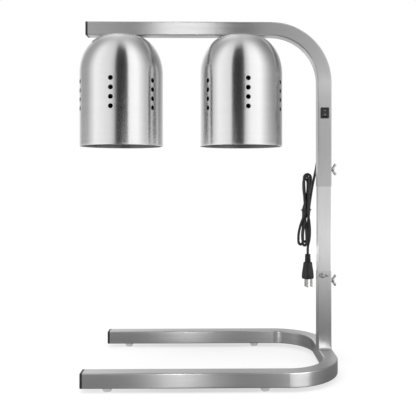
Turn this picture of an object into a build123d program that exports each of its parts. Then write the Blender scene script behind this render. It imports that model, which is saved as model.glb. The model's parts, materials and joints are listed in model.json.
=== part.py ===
from build123d import *
from math import pi, radians, tan
import os

# Two-lamp countertop heat lamp, in millimetres.
# Frame: +Z up, front towards -Y, +X towards the post.
# Origin: bottom centre of the lamp's box, on the surface that the feet stand on.

# ---- driving dimensions ----
TUBE = 28.0                # outside of the square tube of arm, post and base
TUBE_WALL = 0.9
TUBE_CORNER = 2.4
MAST = 25.9                # outside of the mid tube that slides in both posts
MAST_WALL = 1.2
MAST_CORNER = 1.6
HEIGHT = 706.0             # top of the arm at rest
BASE_WIDTH = 326.0         # over the two legs
FOOT_HEIGHT = 8.1
BASE_BEND = 92.0           # centreline radii of the tube bends
HEAD_BEND = 110.0
# Distances from the post's axis, towards the open end.
ARM_REACH = 489.0          # to the outside of the arm's cap
LEG_REACH = 469.0          # to the outside of the legs' caps
BASE_END_OFFSET = 1.5      # the base's end stands this far outside the post
LAMP_REACH = (417.4, 171.4)
FOOT_REACH = (421.0, 134.0)
CAP_FLANGE = 4.9
# Heights.
SLEEVE_TOP_Z = 195.2       # upper end of the base post
HEAD_END_Z = 369.2         # lower end of the head's post
MAST_BOTTOM_Z = 70.2
MAST_TOP_Z = 439.2
SWITCH_Z = 519.8
GLAND_Z = 496.0
HEAD_SCREW_Z = 404.2
SIDE_SCREW_Z = 175.3
FRONT_SCREW_Z = 187.0
FRONT_SCREW_OFFSET = -4.5  # the front screw passes beside the side screw
RIM_Z = 451.4              # shade's mouth
# Shade.
SHADE_RADIUS = 85.2
SHADE_WALL = 0.8
SHADE_CROWN = 26.0         # radius of the flat top
SHADE_SHOULDER = 78.0      # height of the elliptical dome
RIM_FOLD = 5.0
VENT_RADIUS = 4.7
VENT_COLUMNS = 6
VENT_ROWS = 4
VENT_PITCH = 18.1
VENT_TOP_DROP = 20.0       # from the dome's foot to the highest hole
VENT_TURN = (-5.7, 6.9)    # azimuth of one column from the front, for each lamp

# ---- derived places ----
HALF = TUBE / 2
NUT_HEIGHT = 2.6
WING_REACH = 12.2          # from the tube's face to the wing tips
LEFT_EDGE = max(LAMP_REACH) + SHADE_RADIUS
RIGHT_EDGE = HALF + WING_REACH
POST_X = (LEFT_EDGE - RIGHT_EDGE) / 2
ARM_Z = HEIGHT - HALF
ARM_UNDER_Z = HEIGHT - TUBE
LEG_Y = (BASE_WIDTH - TUBE) / 2
BASE_Z = FOOT_HEIGHT + HALF
BASE_TOP_Z = FOOT_HEIGHT + TUBE
LAMPS = {"left": POST_X - LAMP_REACH[0], "right": POST_X - LAMP_REACH[1]}
FEET = {
    "front_left": (POST_X - FOOT_REACH[0], -LEG_Y),
    "front_right": (POST_X - FOOT_REACH[1], -LEG_Y),
    "back_left": (POST_X - FOOT_REACH[0], LEG_Y),
    "back_right": (POST_X - FOOT_REACH[1], LEG_Y),
}
BASE_END_X = POST_X + BASE_END_OFFSET

parts = {}


def at(shape, x=0.0, y=0.0, z=0.0):
    """The shape moved to a place."""
    return Pos(x, y, z) * shape


def rod(radius, low, high):
    """Upright round bar between two heights."""
    return at(Cylinder(radius, high - low), z=(low + high) / 2)


def hollow_square(side, wall, corner):
    """Cross-section of a square tube."""
    inside = side - 2 * wall
    return RectangleRounded(side, side, corner) - RectangleRounded(inside, inside, corner - wall)


def bent_tube(points, bend):
    """Square tube along straight runs joined by bends."""
    path = FilletPolyline(*points, radius=bend)
    start = Plane(path @ 0, x_dir=(0, 1, 0), z_dir=path % 0)
    return sweep(start * hollow_square(TUBE, TUBE_WALL, TUBE_CORNER), path=path)


def drilled(shape, radius, origin, direction):
    """The shape with a round hole bored through one wall, centred at origin."""
    drill = Plane(origin, z_dir=direction) * Cylinder(radius, TUBE)
    return shape - drill


def lathe(points):
    """Solid of revolution about Z of a closed outline of (radius, z) points."""
    outline = Polyline(*[(r, 0, z) for r, z in points], close=True)
    return revolve(make_face(outline), Axis.Z)


def hexagon(across_flats, low, high, bore):
    """Hexagon nut about Z."""
    body = extrude(RegularPolygon(across_flats / 2, 6, major_radius=False), high - low)
    return at(body, z=low) - rod(bore, low - 1, high + 1)


# ---- base ----
LEG_END_X = POST_X - LEG_REACH + CAP_FLANGE


def base_frame():
    corners = [
        (LEG_END_X, -LEG_Y, BASE_Z),
        (BASE_END_X, -LEG_Y, BASE_Z),
        (BASE_END_X, LEG_Y, BASE_Z),
        (LEG_END_X, LEG_Y, BASE_Z),
    ]
    frame = bent_tube(corners, BASE_BEND)
    for x, y in FEET.values():
        frame -= at(rod(FOOT_NUT_RADIUS + 0.1, 0, FOOT_HEIGHT + 4), x, y)
    return frame


def base_post():
    post = extrude(hollow_square(TUBE, TUBE_WALL, TUBE_CORNER), SLEEVE_TOP_Z - BASE_TOP_Z)
    post = at(post, POST_X, 0, BASE_TOP_Z)
    post = drilled(post, SCREW_HOLE, (POST_X + HALF, 0, SIDE_SCREW_Z), (1, 0, 0))
    return drilled(post, SCREW_HOLE, (POST_X + FRONT_SCREW_OFFSET, -HALF, FRONT_SCREW_Z), (0, -1, 0))


def weld_beads():
    """Fillet welds across the front and back of the post's foot."""
    leg = 2.4
    width = TUBE - 2 * TUBE_CORNER
    bead = []
    for side in (-1, 1):
        outline = Polyline(
            (POST_X - width / 2, side * HALF, BASE_TOP_Z),
            (POST_X - width / 2, side * (HALF + leg), BASE_TOP_Z),
            (POST_X - width / 2, side * HALF, BASE_TOP_Z + leg),
            close=True,
        )
        bead.append(extrude(make_face(outline), width, dir=(1, 0, 0)))
    return Compound(children=[b.solid() for b in bead])


def end_cap(length=12.0):
    """Plastic cap with its flange's outside at z = 0 and its plug along +Z."""
    flange = extrude(RectangleRounded(TUBE, TUBE, TUBE_CORNER), CAP_FLANGE)
    flange = fillet(flange.edges().group_by(Axis.Z)[0], 1.6)
    plug = at(extrude(hollow_square(TUBE - 2 * TUBE_WALL - 0.3, 1.6, 1.7), length), z=CAP_FLANGE)
    return flange + plug


FOOT_NUT_RADIUS = 3.4
FOOT_SCREW_RADIUS = 2.0
FOOT_TOP = 9.6
FOOT_BOTTOM = 7.4
FOOT_RECESS = 4.6


def foot():
    body = lathe([
        (0, 0), (FOOT_BOTTOM - 0.8, 0), (FOOT_BOTTOM, 0.8),
        (FOOT_TOP, FOOT_HEIGHT - 1.2), (FOOT_TOP, FOOT_HEIGHT), (0, FOOT_HEIGHT),
    ])
    body -= rod(FOOT_RECESS, -1, 4.2)
    return body - rod(FOOT_SCREW_RADIUS + 0.2, 0, FOOT_HEIGHT + 1)


def foot_screw():
    head = lathe([(0, 1.6), (2.6, 1.6), (3.8, 2.6), (3.8, 4.2), (0, 4.2)])
    slot = at(Box(5.2, 0.9, 1.6), z=1.9) + at(Box(0.9, 5.2, 1.6), z=1.9)
    return head - slot + rod(FOOT_SCREW_RADIUS, 4.0, FOOT_HEIGHT + 9)


def foot_nut():
    """Blind rivet nut in the tube's lower wall."""
    barrel = rod(FOOT_NUT_RADIUS, FOOT_HEIGHT, FOOT_HEIGHT + 10)
    bulge = rod(FOOT_NUT_RADIUS + 1.1, FOOT_HEIGHT + TUBE_WALL, FOOT_HEIGHT + 3)
    return barrel + bulge - rod(FOOT_SCREW_RADIUS + 0.05, FOOT_HEIGHT - 1, FOOT_HEIGHT + 11)


# ---- clamp screws ----
SCREW_RADIUS = 2.5
SCREW_BORE = 2.58
SCREW_HOLE = 2.8
NUT_RADIUS = 5.2
HUB_RADIUS = 3.9
TIP_GAP = 0.25             # from the screw's tip to the mast
WING_THICKNESS = 2.4


def screw_nut():
    """Round weld nut on the tube's face, its axis along +Z from z = 0."""
    nut = rod(NUT_RADIUS, 0, NUT_HEIGHT)
    nut = fillet(nut.edges().group_by(Axis.Z)[-1], 0.7)
    return nut - rod(SCREW_BORE, -1, NUT_HEIGHT + 1)


def wing_screw(mast_face):
    """Wing screw along +Z: z = 0 is the tube's face, and the mast lies at -mast_face."""
    shank = rod(SCREW_RADIUS, -mast_face + TIP_GAP, NUT_HEIGHT + 1)
    hub = rod(HUB_RADIUS, NUT_HEIGHT + 0.5, NUT_HEIGHT + 5.4)
    hub = fillet(hub.edges().group_by(Axis.Z)[-1], 1.4)
    body = shank + hub
    for side in (-1, 1):
        outline = Polyline(
            (side * 2.4, 0, NUT_HEIGHT + 0.9),
            (side * 6.6, 0, NUT_HEIGHT + 2.0),
            (side * 12.4, 0, NUT_HEIGHT + 5.2),
            (side * 12.4, 0, WING_REACH),
            (side * 9.4, 0, WING_REACH),
            (side * 4.6, 0, NUT_HEIGHT + 6.0),
            (side * 2.4, 0, NUT_HEIGHT + 5.0),
            close=True,
        )
        wing = extrude(make_face(outline), WING_THICKNESS / 2, both=True)
        tips = wing.edges().filter_by(Axis.Y).sort_by(Axis.X)
        ends = tips[-2:] if side > 0 else tips[:2]
        wing = fillet(ends, 2.0)
        body += wing
    return body


# ---- head ----
def head_tube():
    corners = [
        (POST_X - ARM_REACH + CAP_FLANGE, 0, ARM_Z),
        (POST_X, 0, ARM_Z),
        (POST_X, 0, HEAD_END_Z),
    ]
    tube = bent_tube(corners, HEAD_BEND)
    for x in LAMPS.values():
        tube -= at(rod(NIPPLE_HOLE, ARM_UNDER_Z - 3, ARM_UNDER_Z + 3), x)
    window = Box(SWITCH_BODY[0] + 0.3, TUBE_WALL * 4, SWITCH_BODY[1] + 0.3)
    tube -= at(window, POST_X, -HALF, SWITCH_Z)
    tube = drilled(tube, GLAND_BARREL + 0.1, (POST_X, HALF, GLAND_Z), (0, 1, 0))
    return drilled(tube, SCREW_HOLE, (POST_X + HALF, 0, HEAD_SCREW_Z), (1, 0, 0))


# ---- switch ----
SWITCH_BEZEL = (17.2, 22.8, 2.0)
SWITCH_BODY = (12.0, 18.6)
SWITCH_DEPTH = 15.0
ROCKER_SIZE = (9.4, 15.2)
ROCKER_PIVOT = 1.2         # behind the tube's face
ROCKER_LEAN = 10.0         # each half of the paddle slopes this much; the switch rests at off
FACE_Y = -HALF


def switch_housing():
    width, height, proud = SWITCH_BEZEL
    bezel = extrude(RectangleRounded(width, height, 2.2), proud)
    bezel = fillet(bezel.edges().group_by(Axis.Z)[-1], 0.9)
    body = at(Box(SWITCH_BODY[0], SWITCH_BODY[1], SWITCH_DEPTH), z=-SWITCH_DEPTH / 2)
    shell = bezel + body
    pocket = at(Box(ROCKER_SIZE[0] + 0.8, ROCKER_SIZE[1] + 1.8, 9.0), z=proud - 4.5 + 0.1)
    shell -= pocket
    # A bore on each side wall holds the rocker's pivot.
    shell -= at(Rot(0, 90, 0) * Cylinder(1.06, ROCKER_SIZE[0] + 1.8), z=-ROCKER_PIVOT)
    return Plane((POST_X, FACE_Y, SWITCH_Z), x_dir=(1, 0, 0), z_dir=(0, -1, 0)) * shell


def switch_rocker():
    """Rocker with a shallow V face, its pivot pins along X."""
    width, height = ROCKER_SIZE
    half_height = height / 2
    rise = half_height * tan(radians(ROCKER_LEAN))
    profile = Polyline(
        (0, -half_height, 1.1 + rise),
        (0, 0, 1.1),
        (0, half_height, 1.1 + rise),
        (0, half_height - 0.9, -1.6),
        (0, 2.6, -4.6),
        (0, -2.6, -4.6),
        (0, -half_height + 0.9, -1.6),
        close=True,
    )
    paddle = extrude(make_face(profile), width / 2, both=True, dir=(1, 0, 0))
    pin = at(Rot(0, 90, 0) * Cylinder(1.0, width + 1.6), z=-ROCKER_PIVOT)
    at_off = at(Rot(-ROCKER_LEAN, 0, 0) * at(paddle + pin, z=ROCKER_PIVOT), z=-ROCKER_PIVOT)
    return Plane((POST_X, FACE_Y, SWITCH_Z), x_dir=(1, 0, 0), z_dir=(0, -1, 0)) * at_off


def switch_terminals():
    back = FACE_Y + SWITCH_DEPTH
    tabs = [at(Box(4.8, 6.0, 0.8), POST_X, back + 3.0, SWITCH_Z + dz) for dz in (-6.0, 0.0, 6.0)]
    return Compound(children=[t.solid() for t in tabs])


# ---- lamp fittings ----
NIPPLE_RADIUS = 5.0
NIPPLE_BORE = 3.6
NIPPLE_HOLE = 5.2
NIPPLE_TOP = ARM_UNDER_Z + 6.0
NIPPLE_BOTTOM = 663.0
CROWN_UNDER_Z = ARM_UNDER_Z - SHADE_WALL
WASHER = 1.2
LOCK_NUT = 3.0
SOCKET_TOP_Z = CROWN_UNDER_Z - WASHER - LOCK_NUT - 0.3
SOCKET_RADIUS = 20.0
SOCKET_BOTTOM_Z = 609.0
SOCKET_SHOULDER_Z = 652.0
SHELL_RADIUS = 14.0        # outside of the socket's brass screw shell
SHELL_WALL = 0.6
SHELL_TOP_Z = 638.0
BULB_BASE_RADIUS = 13.1
BULB_BASE_TOP_Z = 636.0
BULB_NECK_Z = 611.0
BULB_FACE_Z = 472.0
BULB_EDGE_Z = 496.0
BULB_RADIUS = 62.0
BULB_EDGE_RADIUS = 16.0    # of the rounded edge between funnel and face
BULB_WAIST = (15.0, 588.0)  # radius and height of the neck's lower end
BULB_FLARE = 0.4           # share of the funnel that flares outwards before it rounds in
BULB_WALL = 1.0


def dome_curve(radius, crown, shoulder, foot_z):
    """Quarter ellipse from the cylinder's top at foot_z to the edge of the flat crown."""
    return EllipticalCenterArc(
        (crown, foot_z), radius - crown, shoulder, start_angle=0, arc_size=90,
    )


def shade(turn):
    foot_z = ARM_UNDER_Z - SHADE_SHOULDER
    inner = SHADE_RADIUS - SHADE_WALL

    def bell(radius, top_z, low_z):
        shoulder = top_z - foot_z
        crown = SHADE_CROWN
        arc = dome_curve(radius, crown, shoulder, foot_z)
        outline = [
            Line((0, low_z), (radius, low_z)),
            Line((radius, low_z), arc @ 0),
            arc,
            Line(arc @ 1, (0, top_z)),
            Line((0, top_z), (0, low_z)),
        ]
        return revolve(Plane.XZ * make_face(outline), Axis.Z)

    body = bell(SHADE_RADIUS, ARM_UNDER_Z, RIM_Z)
    body -= bell(inner, CROWN_UNDER_Z, RIM_Z - 1)
    # The rim is folded inwards once.
    fold = rod(inner + 0.05, RIM_Z, RIM_Z + RIM_FOLD)
    body += fold - rod(inner - SHADE_WALL, RIM_Z - 1, RIM_Z + RIM_FOLD + 1)
    body -= rod(NIPPLE_HOLE, CROWN_UNDER_Z - 2, ARM_UNDER_Z + 2)
    for column in range(VENT_COLUMNS):
        azimuth = turn + column * 360 / VENT_COLUMNS
        for row in range(VENT_ROWS):
            z = foot_z - VENT_TOP_DROP - row * VENT_PITCH
            drill = Rot(90, 0, 0) * Cylinder(VENT_RADIUS, 20)
            body -= Rot(0, 0, azimuth) * at(drill, 0, -SHADE_RADIUS, z)
    return body


def lamp_nipple():
    bore = rod(NIPPLE_BORE, NIPPLE_BOTTOM - 1, NIPPLE_TOP + 1)
    return rod(NIPPLE_RADIUS, NIPPLE_BOTTOM, NIPPLE_TOP) - bore


def shade_washer():
    low = CROWN_UNDER_Z - WASHER
    return rod(15.0, low, CROWN_UNDER_Z) - rod(NIPPLE_RADIUS + 0.15, low - 1, CROWN_UNDER_Z + 1)


def lamp_socket():
    """Glazed socket body with a bore for the nipple above and a cup for the screw shell below."""
    body = lathe([
        (0, SOCKET_BOTTOM_Z), (SOCKET_RADIUS - 1, SOCKET_BOTTOM_Z), (SOCKET_RADIUS, SOCKET_BOTTOM_Z + 1),
        (SOCKET_RADIUS, SOCKET_BOTTOM_Z + 6), (SOCKET_RADIUS - 1.6, SOCKET_BOTTOM_Z + 8),
        (SOCKET_RADIUS - 1.6, SOCKET_SHOULDER_Z), (SOCKET_RADIUS - 6, SOCKET_TOP_Z - 1),
        (SOCKET_RADIUS - 7, SOCKET_TOP_Z), (0, SOCKET_TOP_Z),
    ])
    body -= rod(SHELL_RADIUS + 0.2, SOCKET_BOTTOM_Z - 1, SHELL_TOP_Z + 4)
    body -= rod(NIPPLE_RADIUS + 0.1, NIPPLE_BOTTOM, SOCKET_TOP_Z + 1)
    return body - rod(NIPPLE_BORE, SHELL_TOP_Z, NIPPLE_BOTTOM + 1)


def socket_shell():
    """Brass screw shell with rolled thread ridges."""
    low = SOCKET_BOTTOM_Z + 2
    inner = SHELL_RADIUS - SHELL_WALL
    body = rod(SHELL_RADIUS, low, SHELL_TOP_Z) - rod(inner, low - 1, SHELL_TOP_Z - SHELL_WALL)
    return body - rod(6.0, SHELL_TOP_Z - 2, SHELL_TOP_Z + 1)


def socket_contact():
    """Centre contact under the roof of the socket's cup."""
    return rod(3.6, SHELL_TOP_Z - 0.2, SHELL_TOP_Z + 4) - rod(1.0, SHELL_TOP_Z + 2, SHELL_TOP_Z + 5)


def bulb_base():
    """Screw cap of the bulb with its insulator and tip contact."""
    ridges = [(0, BULB_NECK_Z)]
    steps = 6
    pitch = (BULB_BASE_TOP_Z - 4 - BULB_NECK_Z) / steps
    for step in range(steps):
        z = BULB_NECK_Z + step * pitch
        ridges.append((BULB_BASE_RADIUS - 0.9, z))
        ridges.append((BULB_BASE_RADIUS, z + pitch / 2))
    ridges.append((BULB_BASE_RADIUS - 0.9, BULB_BASE_TOP_Z - 4))
    ridges.append((5.0, BULB_BASE_TOP_Z))
    ridges.append((4.4, BULB_BASE_TOP_Z + 1.2))
    ridges.append((0, BULB_BASE_TOP_Z + 1.2))
    return lathe(ridges)


def bulb_glass():
    """Reflector bulb: neck, flared funnel and a domed face, as a thin glass shell."""
    edge_x = BULB_RADIUS - BULB_EDGE_RADIUS
    rise = BULB_EDGE_Z - BULB_FACE_Z
    # The face is part of a sphere that runs smoothly into the rounded edge.
    face_radius = (edge_x ** 2 + rise ** 2 - BULB_EDGE_RADIUS ** 2) / (2 * (rise - BULB_EDGE_RADIUS))
    face_centre = Vector(0, BULB_FACE_Z + face_radius)
    towards_edge = (Vector(edge_x, BULB_EDGE_Z) - face_centre).normalized()

    def blown(wall):
        """Closed solid of the bulb, drawn in by the glass's thickness."""
        neck = Vector(BULB_BASE_RADIUS - 0.3 - wall, BULB_NECK_Z)
        waist = Vector(BULB_WAIST[0] - wall, BULB_WAIST[1])
        edge = Vector(BULB_RADIUS - wall, BULB_EDGE_Z)
        top = Vector(0, BULB_NECK_Z)
        bottom = Vector(0, BULB_FACE_Z + wall)
        flare = TangentArc(waist, waist + (edge - waist) * BULB_FLARE, tangent=(0, -1))
        bowl = TangentArc(flare @ 1, edge, tangent=flare % 1)
        corner = TangentArc(edge, face_centre + towards_edge * (face_radius - wall), tangent=(0, -1))
        face = TangentArc(corner @ 1, bottom, tangent=corner % 1)
        outline = [Line(top, neck), Line(neck, waist), flare, bowl, corner, face, Line(bottom, top)]
        return revolve(Plane.XZ * make_face(outline), Axis.Z)

    return blown(0.0) - blown(BULB_WALL)


# ---- wiring inside the head ----
WIRE_RADIUS = 2.1
WIRE_Z = ARM_Z + 4.0
WIRE_START_Z = 562.0
WIRE_BEND = 100.0
CONNECTOR_LOW_Z = 538.0


def round_bar(points, radii, radius):
    """Round bar along straight runs joined by tangent arcs."""
    path = FilletPolyline(*points, radius=radii)
    return sweep(Plane(path @ 0, z_dir=path % 0) * Circle(radius), path=path)


def lamp_wire(lamp_x, lane_y):
    """Flex from the connectors up the post, round the bend and down through a nipple."""
    column_x = POST_X + 3.0
    points = [
        (column_x, lane_y, WIRE_START_Z),
        (column_x, lane_y, WIRE_Z),
        (lamp_x + 30.0, lane_y, WIRE_Z),
        (lamp_x, 0, WIRE_Z),
        (lamp_x, 0, SHELL_TOP_Z + 9.0),
    ]
    return round_bar(points, [WIRE_BEND, 12.0, 7.0], WIRE_RADIUS)


def wire_connectors():
    """Closed-end connectors where the switched supply meets the two lamp flexes."""
    shells = []
    for lane_y in WIRE_LANES.values():
        shells.append(at(rod(4.0, CONNECTOR_LOW_Z, WIRE_START_Z), POST_X + 3.0, lane_y))
    return Compound([s.solid() for s in shells])


WIRE_LANES = {"left": 5.4, "right": -5.4}


def supply_wire():
    """Flex from the strain relief past the switch to the connectors."""
    side_x = POST_X - 8.6
    points = [
        (POST_X, HALF - TUBE_WALL - GLAND_INSIDE, GLAND_Z),
        (POST_X, 1.0, GLAND_Z),
        (side_x, 1.0, GLAND_Z + 6.0),
        (side_x, 8.0, GLAND_Z + 16.0),
        (side_x, 8.0, CONNECTOR_LOW_Z - 12.0),
        (POST_X + 1.0, 5.4, CONNECTOR_LOW_Z - 2.4),
    ]
    return round_bar(points, [2.3, 3.6, 7.0, 5.0], WIRE_RADIUS)


# ---- power cord ----
CORD = 5.6                 # outside diameter
GLAND_BARREL = 5.2
GLAND_INSIDE = 7.0
BOOT_LENGTH = 22.0
BOOT_END_Y = HALF + BOOT_LENGTH
# Free cord from the strain relief down to the hank, from the post's axis.
LEAD_ROUTE = [
    (0.0, BOOT_END_Y, GLAND_Z),
    (0.0, BOOT_END_Y + 17.0, GLAND_Z),
    (1.2, BOOT_END_Y + 31.7, GLAND_Z - 8.5),
    (3.0, BOOT_END_Y + 39.5, GLAND_Z - 24.0),
    (3.2, BOOT_END_Y + 41.0, GLAND_Z - 43.0),
    (0.2, BOOT_END_Y + 39.0, GLAND_Z - 72.0),
    (-6.2, BOOT_END_Y + 35.0, GLAND_Z - 102.0),
    (-13.0, BOOT_END_Y + 30.0, GLAND_Z - 129.0),
]
HANK_Y = 58.0
TAIL_X = -23.8
HANK_BOTTOM_Z = 238.0
PLUG_TOP_Z = 222.0
TIE_Z = 316.0
TIE_HEIGHT = 4.0


def place(point):
    """A point given from the post's axis, in the frame of the lamp."""
    return (POST_X + point[0], point[1], point[2])


def route_radii(points):
    """The largest arc at each corner that leaves a short straight between arcs."""
    radii = []
    for before, corner, after in zip(points, points[1:], points[2:]):
        first = Vector(*corner) - Vector(*before)
        second = Vector(*after) - Vector(*corner)
        half_turn = radians(first.get_angle(second) / 2)
        radii.append(0.45 * min(first.length, second.length) / tan(half_turn))
    return radii


def strain_relief():
    """Bushing held in the rear wall, with a tapered boot for the cord."""
    barrel = rod(GLAND_BARREL, -TUBE_WALL - GLAND_INSIDE, 1.0)
    flange = rod(8.0, 0.0, 2.4)
    flange = fillet(flange.edges().group_by(Axis.Z)[-1], 0.8)
    boot = lathe([
        (0, 2.0), (6.0, 2.0), (5.6, 5.0), (4.0, BOOT_LENGTH), (0, BOOT_LENGTH),
    ])
    body = barrel + flange + boot
    for ring in range(4):
        z = 5.5 + ring * 3.6
        outer = rod(8.0, z, z + 1.1) - rod(4.1, z - 1, z + 2.1)
        body -= outer
    return Plane((POST_X, HALF, GLAND_Z), x_dir=(1, 0, 0), z_dir=(0, 1, 0)) * body


def cord_lead():
    points = [place(p) for p in LEAD_ROUTE]
    radii = route_radii(points)
    print("lead radii", [round(r, 1) for r in radii])
    bar = round_bar(points, radii, CORD / 2)
    path_length = FilletPolyline(*points, radius=radii).length
    expected = pi * (CORD / 2) ** 2 * path_length
    print("lead length", round(path_length, 1), "volume", round(bar.volume), "of", round(expected))
    return bar


def hank_section(low_x, high_x, depth, z):
    """Rounded cross-section of the hank at a height."""
    width = high_x - low_x
    corner = min(width, depth) * 0.46
    return Pos(POST_X + (low_x + high_x) / 2, HANK_Y, z) * RectangleRounded(width, depth, corner)


def cord_hank():
    """Closed solid round the folded cord: upper loops, tied waist and wider lower loops."""
    waist = (-35.9, -18.7, 17.0)
    tie_low = TIE_Z - TIE_HEIGHT / 2 - 1
    tie_high = TIE_Z + TIE_HEIGHT / 2 + 1
    upper = [
        waist + (tie_high,),
        (-36.2, -15.4, 18.0, 352.0),
        (-35.6, -14.6, 18.0, 386.0),
        (-31.0, -17.0, 12.0, 398.0),
    ]
    lower = [
        (-37.5, -20.0, 12.0, HANK_BOTTOM_Z),
        (-45.4, -18.2, 18.0, 250.0),
        (-47.0, -16.6, 18.0, 268.0),
        waist + (tie_low,),
    ]
    body = loft([hank_section(*s) for s in lower], ruled=True)
    body += loft([hank_section(*waist, tie_low), hank_section(*waist, tie_high)], ruled=True)
    body += loft([hank_section(*s) for s in upper], ruled=True)
    # The lead runs down the hank's side and into the tie.
    end = Vector(*place(LEAD_ROUTE[-1]))
    along = (end - Vector(*place(LEAD_ROUTE[-2]))).normalized()
    run = extrude(Plane(end, z_dir=along) * Circle(CORD / 2), 46.0)
    return body + run


def cord_tie():
    """Twist tie round the waist, with its two twisted ends."""
    low = TIE_Z - TIE_HEIGHT / 2
    inner = hank_section(-36.0, -18.6, 17.2, low)
    outer = hank_section(-37.1, -17.5, 19.4, low)
    band = extrude(outer, TIE_HEIGHT) - extrude(inner, TIE_HEIGHT)
    left = at(Rot(0, -80, 0) * Cylinder(1.0, 3.4), POST_X - 38.4, HANK_Y, TIE_Z)
    right = at(Rot(0, 70, 0) * Cylinder(1.0, 3.4), POST_X - 16.2, HANK_Y, TIE_Z + 0.8)
    return band + left + right


def cord_tail():
    return at(rod(CORD / 2, PLUG_TOP_Z, HANK_BOTTOM_Z), POST_X + TAIL_X, HANK_Y)


# ---- mains plug ----
PLUG_TURN = 35.0
PLUG_FACE = (23.5, 21.0)    # outline of the face that the blades stand on
PLUG_FACE_Z = 169.0
PLUG_SHOULDER_Z = 204.5
BLADE_SPAN = 12.7
BLADE = (1.5, 6.3, 16.5)
PIN_OFFSET = 11.9
PIN_RADIUS = 2.4
BLADE_LINE = -4.6          # the blades' line, in front of the plug's axis


def on_plug(shape):
    return Pos(POST_X + TAIL_X, HANK_Y, 0) * Rot(0, 0, PLUG_TURN) * shape


def plug_body():
    neck = loft([
        at(Circle(5.4), z=PLUG_TOP_Z),
        at(Circle(6.6), z=PLUG_SHOULDER_Z - 1.0),
    ])
    neck = fillet(neck.edges().group_by(Axis.Z)[-1], 1.0)
    shell = loft([
        at(RectangleRounded(*PLUG_FACE, 6.4), z=PLUG_FACE_Z),
        at(RectangleRounded(PLUG_FACE[0] - 0.2, PLUG_FACE[1] - 0.3, 6.4), z=PLUG_FACE_Z + 9.0),
        at(RectangleRounded(17.8, 15.8, 5.5), z=PLUG_SHOULDER_Z),
    ], ruled=True)
    shell = fillet(shell.edges().group_by(Axis.Z)[0], 1.2)
    return on_plug(neck + shell)


def plug_blades():
    width, depth, length = BLADE
    blades = []
    for side in (-1, 1):
        blade = Box(width, depth, length + 1.0)
        blade = chamfer(blade.edges().group_by(Axis.Z)[0].filter_by(Axis.Y), 0.5)
        blade -= at(Rot(0, 90, 0) * Cylinder(1.6, 10), z=-length / 2 + 4.0)
        blade = at(blade, side * BLADE_SPAN / 2, BLADE_LINE, PLUG_FACE_Z - (length + 1.0) / 2)
        blades.append(on_plug(blade))
    return Compound([b.solid() for b in blades])


def plug_ground_pin():
    length = BLADE[2] + 1.6
    pin = rod(PIN_RADIUS, PLUG_FACE_Z - length, PLUG_FACE_Z)
    pin = fillet(pin.edges().group_by(Axis.Z)[0], 1.8)
    return on_plug(at(pin, 0, BLADE_LINE + PIN_OFFSET))


# ---- parts ----
parts["base_frame"] = base_frame()
parts["base_post"] = base_post()
parts["post_welds"] = weld_beads()
for side, y in (("front", -LEG_Y), ("back", LEG_Y)):
    facing = Plane((POST_X - LEG_REACH, y, BASE_Z), x_dir=(0, 1, 0), z_dir=(1, 0, 0))
    parts[f"leg_cap_{side}"] = facing * end_cap()
for corner, (x, y) in FEET.items():
    parts[f"foot_{corner}"] = at(foot(), x, y)
parts["foot_screws"] = Compound([at(foot_screw(), x, y).solid() for x, y in FEET.values()])
parts["foot_rivet_nuts"] = Compound([at(foot_nut(), x, y).solid() for x, y in FEET.values()])

mast = extrude(hollow_square(MAST, MAST_WALL, MAST_CORNER), MAST_TOP_Z - MAST_BOTTOM_Z)
parts["mast_tube"] = at(mast, POST_X, 0, MAST_BOTTOM_Z)
parts["head_tube"] = head_tube()
parts["arm_cap"] = Plane((POST_X - ARM_REACH, 0, ARM_Z), x_dir=(0, 1, 0), z_dir=(1, 0, 0)) * end_cap()

MAST_FACE = HALF - MAST / 2
SCREWS = {
    "head": Plane((POST_X + HALF, 0, HEAD_SCREW_Z), x_dir=(0, 0, 1), z_dir=(1, 0, 0)),
    "side": Plane((POST_X + HALF, 0, SIDE_SCREW_Z), x_dir=(0, 0, 1), z_dir=(1, 0, 0)),
    "front": Plane((POST_X + FRONT_SCREW_OFFSET, -HALF, FRONT_SCREW_Z), x_dir=(1, 0, 0), z_dir=(0, -1, 0)),
}
for name, plane in SCREWS.items():
    parts[f"{name}_screw_nut"] = plane * screw_nut()
    parts[f"{name}_wing_screw"] = plane * wing_screw(MAST_FACE)

parts["switch_housing"] = switch_housing()
parts["switch_rocker"] = switch_rocker()
parts["switch_terminals"] = switch_terminals()

for (name, x), turn in zip(LAMPS.items(), VENT_TURN):
    parts[f"shade_{name}"] = at(shade(turn), x)
    parts[f"nipple_{name}"] = at(lamp_nipple(), x)
    parts[f"shade_washer_{name}"] = at(shade_washer(), x)
    parts[f"socket_{name}"] = at(lamp_socket(), x)
    parts[f"socket_shell_{name}"] = at(socket_shell(), x)
    parts[f"socket_contact_{name}"] = at(socket_contact(), x)
    parts[f"bulb_base_{name}"] = at(bulb_base(), x)
    parts[f"bulb_glass_{name}"] = at(bulb_glass(), x)
    parts[f"lamp_wire_{name}"] = lamp_wire(x, WIRE_LANES[name])
arm_nut_low = ARM_UNDER_Z + TUBE_WALL
shade_nut_low = CROWN_UNDER_Z - WASHER - LOCK_NUT
lock_nuts = []
for x in LAMPS.values():
    lock_nuts.append(at(hexagon(14.0, arm_nut_low, arm_nut_low + LOCK_NUT, NIPPLE_RADIUS + 0.05), x))
    lock_nuts.append(at(hexagon(16.0, shade_nut_low, shade_nut_low + LOCK_NUT, NIPPLE_RADIUS + 0.05), x))
parts["lock_nuts"] = Compound([nut.solid() for nut in lock_nuts])
parts["wire_connectors"] = wire_connectors()
parts["supply_wire"] = supply_wire()

parts["strain_relief"] = strain_relief()
parts["cord_lead"] = cord_lead()
parts["cord_hank"] = cord_hank()
parts["cord_tie"] = cord_tie()
parts["cord_tail"] = cord_tail()
parts["plug_body"] = plug_body()
parts["plug_blades"] = plug_blades()
parts["plug_ground_pin"] = plug_ground_pin()

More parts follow.
